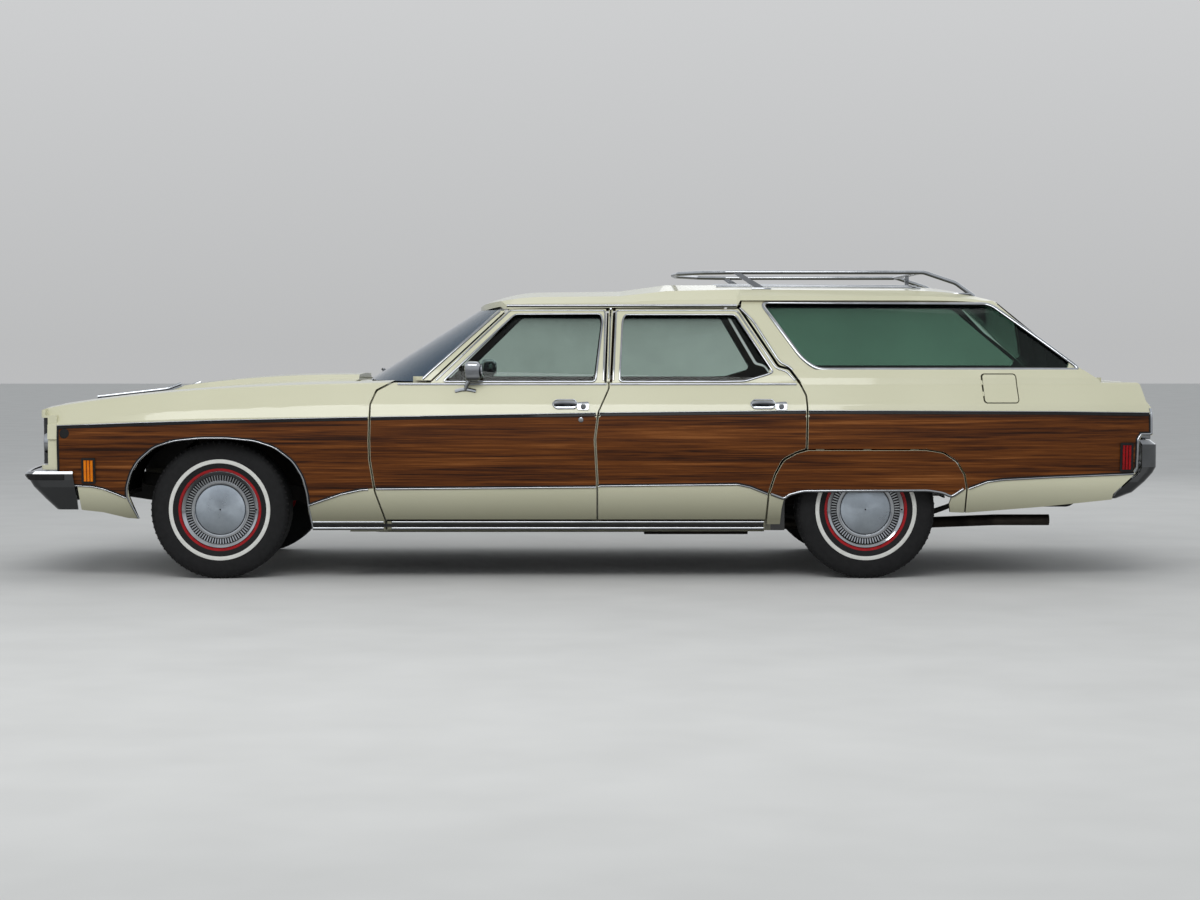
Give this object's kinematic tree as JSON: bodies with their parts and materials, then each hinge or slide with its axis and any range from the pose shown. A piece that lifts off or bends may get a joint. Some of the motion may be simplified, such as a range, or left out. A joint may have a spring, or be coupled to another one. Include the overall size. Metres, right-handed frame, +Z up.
{
  "type": "station wagon",
  "caption": "Full-size early seventies station wagon with wood-grain sides, roof rack, opening doors, hood and sliding tailgate, steered front wheels and rolling wheels.",
  "frame": {"origin": "on the ground under the middle of the car", "axes": "the nose points to -X, the left side to -Y, +Z is up"},
  "size_m": [5.7658, 2.0168, 1.5499],
  "materials": {
    "paint": "gloss",
    "dark_metal": "satin",
    "chrome": "polished",
    "glass": "clear",
    "lamp_clear": "clear",
    "lamp_red": "gloss",
    "tyre": "matte",
    "wheel_metal": "polished",
    "trim_brown": "satin",
    "carpet": "matte",
    "dash_brown": "matte",
    "iron": "rough",
    "steel": "satin"
  },
  "bodies": {
    "car_body": {"chassis": "dark_metal", "floor": "carpet", "cowl": "paint", "fender_left": "paint", "fender_right": "paint", "nose": "paint", "grille": "chrome", "bumper_front": "chrome", "bumper_rear": "chrome", "headlamps": "lamp_clear", "tail_lamps": "lamp_red", "tail_bar": "paint", "radiator": "dark_metal", "gate_well": "dark_metal", "engine": "iron", "driveline": "iron", "exhaust": "steel", "body_left": "paint", "body_right": "paint", "roof": "paint", "windshield": "glass", "quarter_glass": "glass", "tailgate_glass": "glass", "skirt_left": "paint", "skirt_right": "paint", "seat_front": "trim_brown", "seat_middle": "trim_brown", "dashboard": "dash_brown", "roof_rack": "chrome"},
    "hood": {"hood": "paint"},
    "door_front_left": {"door_front_left": "paint", "glass_front_left": "glass", "mirror_left": "chrome"},
    "door_front_right": {"door_front_right": "paint", "glass_front_right": "glass", "mirror_right": "chrome"},
    "door_rear_left": {"door_rear_left": "paint", "glass_rear_left": "glass"},
    "door_rear_right": {"door_rear_right": "paint", "glass_rear_right": "glass"},
    "tailgate": {"tailgate": "paint"},
    "fuel_door": {"fuel_door": "paint"},
    "steering_wheel": {"steering_wheel": "dash_brown"},
    "knuckle_left": {"knuckle_left": "iron"},
    "knuckle_right": {"knuckle_right": "iron"},
    "wheel_front_left": {"wheel_front_left": "wheel_metal", "tyre_front_left": "tyre"},
    "wheel_front_right": {"wheel_front_right": "wheel_metal", "tyre_front_right": "tyre"},
    "wheel_rear_left": {"wheel_rear_left": "wheel_metal", "tyre_rear_left": "tyre"},
    "wheel_rear_right": {"wheel_rear_right": "wheel_metal", "tyre_rear_right": "tyre"}
  },
  "joints": [
    {"name": "steering_wheel_turn", "type": "hinge", "parent": "car_body", "child": "steering_wheel", "pos_m": [-0.58, -0.385, 0.872], "axis": [0.9061, 0, 0.423], "range_deg": [-560, 560]},
    {"name": "steer_left", "type": "hinge", "parent": "car_body", "child": "knuckle_left", "pos_m": [-1.841, -0.745, 0.345], "axis": [0, 0, 1], "range_deg": [-35, 35]},
    {"name": "wheel_front_left_spin", "type": "hinge", "parent": "knuckle_left", "child": "wheel_front_left", "pos_m": [-1.841, -0.814, 0.345], "axis": [0, -1, 0], "continuous": true},
    {"name": "wheel_rear_left_spin", "type": "hinge", "parent": "car_body", "child": "wheel_rear_left", "pos_m": [1.385, -0.814, 0.345], "axis": [0, -1, 0], "continuous": true},
    {"name": "door_front_left_hinge", "type": "hinge", "parent": "car_body", "child": "door_front_left", "pos_m": [-1.062, -0.997, 0.65], "axis": [0, 0, -1], "range_deg": [0, 62]},
    {"name": "door_rear_left_hinge", "type": "hinge", "parent": "car_body", "child": "door_rear_left", "pos_m": [0.06, -0.997, 0.65], "axis": [0, 0, -1], "range_deg": [0, 62]},
    {"name": "steer_right", "type": "hinge", "parent": "car_body", "child": "knuckle_right", "pos_m": [-1.841, 0.745, 0.345], "axis": [0, 0, 1], "range_deg": [-35, 35]},
    {"name": "wheel_front_right_spin", "type": "hinge", "parent": "knuckle_right", "child": "wheel_front_right", "pos_m": [-1.841, 0.814, 0.345], "axis": [0, -1, 0], "continuous": true},
    {"name": "wheel_rear_right_spin", "type": "hinge", "parent": "car_body", "child": "wheel_rear_right", "pos_m": [1.385, 0.814, 0.345], "axis": [0, -1, 0], "continuous": true},
    {"name": "door_front_right_hinge", "type": "hinge", "parent": "car_body", "child": "door_front_right", "pos_m": [-1.062, 0.997, 0.65], "axis": [0, 0, 1], "range_deg": [0, 62]},
    {"name": "door_rear_right_hinge", "type": "hinge", "parent": "car_body", "child": "door_rear_right", "pos_m": [0.06, 0.997, 0.65], "axis": [0, 0, 1], "range_deg": [0, 62]},
    {"name": "hood_hinge", "type": "hinge", "parent": "car_body", "child": "hood", "pos_m": [-1.199, 0, 1.021], "axis": [0, 1, 0], "range_deg": [0, 50]},
    {"name": "tailgate_slide_down", "type": "hinge", "parent": "car_body", "child": "tailgate", "pos_m": [2.315, 0, 0.8], "axis": [0, 1, 0], "range_deg": [0, 75]},
    {"name": "fuel_door_hinge", "type": "hinge", "parent": "car_body", "child": "fuel_door", "pos_m": [1.961, -0.937, 0.951], "axis": [0.0436, -0.5076, -0.8605], "range_deg": [0, 90]}
  ],
  "couplings": [
    {"joint": "steer_left", "follows": "steering_wheel_turn", "ratio": 0.0625},
    {"joint": "steer_right", "follows": "steering_wheel_turn", "ratio": 0.0625}
  ]
}
